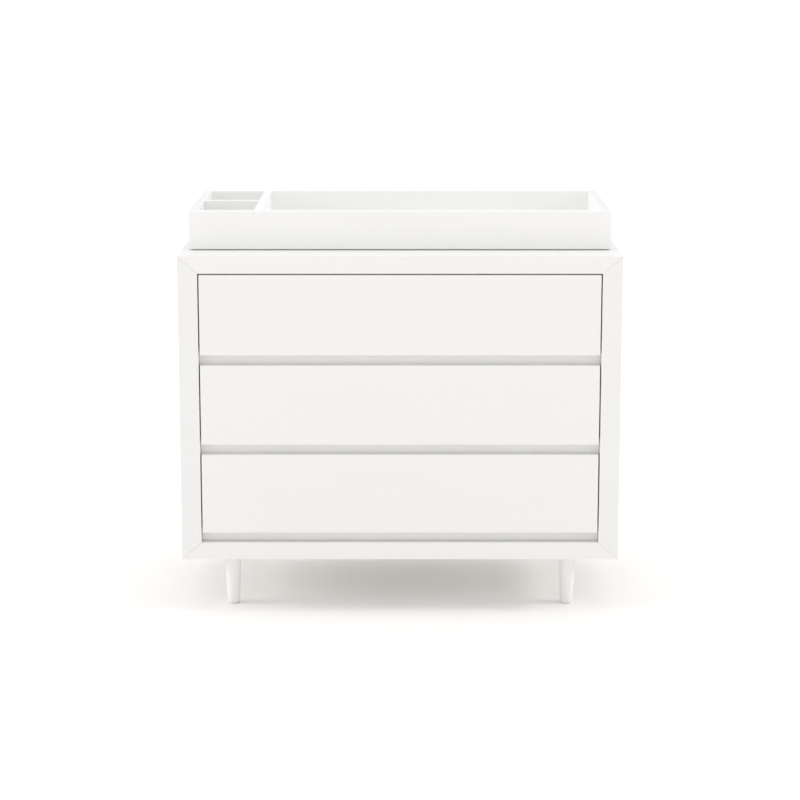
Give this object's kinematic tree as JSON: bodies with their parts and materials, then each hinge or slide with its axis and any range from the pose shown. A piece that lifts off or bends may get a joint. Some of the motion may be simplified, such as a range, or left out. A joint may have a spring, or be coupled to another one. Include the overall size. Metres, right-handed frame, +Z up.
{
  "type": "changing table",
  "caption": "White painted changing table: a drawer dresser with mitred case, handle-less fronts and round tapered legs, under a lift-off changing tray with a divided caddy.",
  "frame": {"origin": "on the floor, below the middle of the case: the bottom centre of the bounding box", "axes": "+X to the right of someone facing the drawers, along the width; +Y from the drawer fronts to the back; +Z up"},
  "size_m": [1.067, 0.55, 0.9795],
  "materials": {
    "white_paint": "satin paint",
    "white_panel": "satin paint on thin board",
    "birch_board": "clear satin",
    "birch_ply": "clear satin",
    "zinc_steel": "bright zinc plate",
    "grey_rubber": "matt"
  },
  "bodies": {
    "case": {"case_top": "white_paint", "case_bottom": "white_paint", "case_left_side": "white_paint", "case_right_side": "white_paint", "case_back_panel": "white_panel", "front_rail_top": "white_paint", "front_rail_middle": "white_paint", "front_rail_bottom": "white_paint", "leg_front_left": "white_paint", "leg_front_right": "white_paint", "leg_rear_left": "white_paint", "leg_rear_right": "white_paint", "leg_bolt_front_left": "zinc_steel", "leg_bolt_front_right": "zinc_steel", "leg_bolt_rear_left": "zinc_steel", "leg_bolt_rear_right": "zinc_steel", "slide_top_left_case_member": "zinc_steel", "slide_top_right_case_member": "zinc_steel", "slide_middle_left_case_member": "zinc_steel", "slide_middle_right_case_member": "zinc_steel", "slide_bottom_left_case_member": "zinc_steel", "slide_bottom_right_case_member": "zinc_steel"},
    "drawer_top": {"drawer_top_front": "white_paint", "drawer_top_left_side": "birch_board", "drawer_top_right_side": "birch_board", "drawer_top_back": "birch_board", "drawer_top_bottom": "birch_ply", "slide_top_left_drawer_member": "zinc_steel", "slide_top_right_drawer_member": "zinc_steel"},
    "runners_top": {"slide_top_left_middle_member": "zinc_steel", "slide_top_right_middle_member": "zinc_steel"},
    "drawer_middle": {"drawer_middle_front": "white_paint", "drawer_middle_left_side": "birch_board", "drawer_middle_right_side": "birch_board", "drawer_middle_back": "birch_board", "drawer_middle_bottom": "birch_ply", "slide_middle_left_drawer_member": "zinc_steel", "slide_middle_right_drawer_member": "zinc_steel"},
    "runners_middle": {"slide_middle_left_middle_member": "zinc_steel", "slide_middle_right_middle_member": "zinc_steel"},
    "drawer_bottom": {"drawer_bottom_front": "white_paint", "drawer_bottom_left_side": "birch_board", "drawer_bottom_right_side": "birch_board", "drawer_bottom_back": "birch_board", "drawer_bottom_bottom": "birch_ply", "slide_bottom_left_drawer_member": "zinc_steel", "slide_bottom_right_drawer_member": "zinc_steel"},
    "runners_bottom": {"slide_bottom_left_middle_member": "zinc_steel", "slide_bottom_right_middle_member": "zinc_steel"},
    "tray": {"tray_front": "white_paint", "tray_back": "white_paint", "tray_left": "white_paint", "tray_right": "white_paint", "tray_floor": "white_panel", "tray_divider": "white_paint", "tray_caddy_divider": "white_paint", "tray_pad_front_left": "grey_rubber", "tray_pad_front_right": "grey_rubber", "tray_pad_rear_left": "grey_rubber", "tray_pad_rear_right": "grey_rubber"}
  },
  "joints": [
    {"name": "drawer_top_slide", "type": "slide", "parent": "case", "child": "drawer_top", "axis": [0, -1, 0], "range_m": [0, 0.45]},
    {"name": "runners_top_slide", "type": "slide", "parent": "case", "child": "runners_top", "axis": [0, -1, 0], "range_m": [0, 0.225]},
    {"name": "drawer_middle_slide", "type": "slide", "parent": "case", "child": "drawer_middle", "axis": [0, -1, 0], "range_m": [0, 0.45]},
    {"name": "runners_middle_slide", "type": "slide", "parent": "case", "child": "runners_middle", "axis": [0, -1, 0], "range_m": [0, 0.225]},
    {"name": "drawer_bottom_slide", "type": "slide", "parent": "case", "child": "drawer_bottom", "axis": [0, -1, 0], "range_m": [0, 0.45]},
    {"name": "runners_bottom_slide", "type": "slide", "parent": "case", "child": "runners_bottom", "axis": [0, -1, 0], "range_m": [0, 0.225]},
    {"name": "tray_lift", "type": "slide", "parent": "case", "child": "tray", "axis": [0, 0, 1], "range_m": [0, 0.15]}
  ],
  "couplings": [
    {"joint": "runners_top_slide", "follows": "drawer_top_slide", "ratio": 0.5},
    {"joint": "runners_middle_slide", "follows": "drawer_middle_slide", "ratio": 0.5},
    {"joint": "runners_bottom_slide", "follows": "drawer_bottom_slide", "ratio": 0.5}
  ]
}
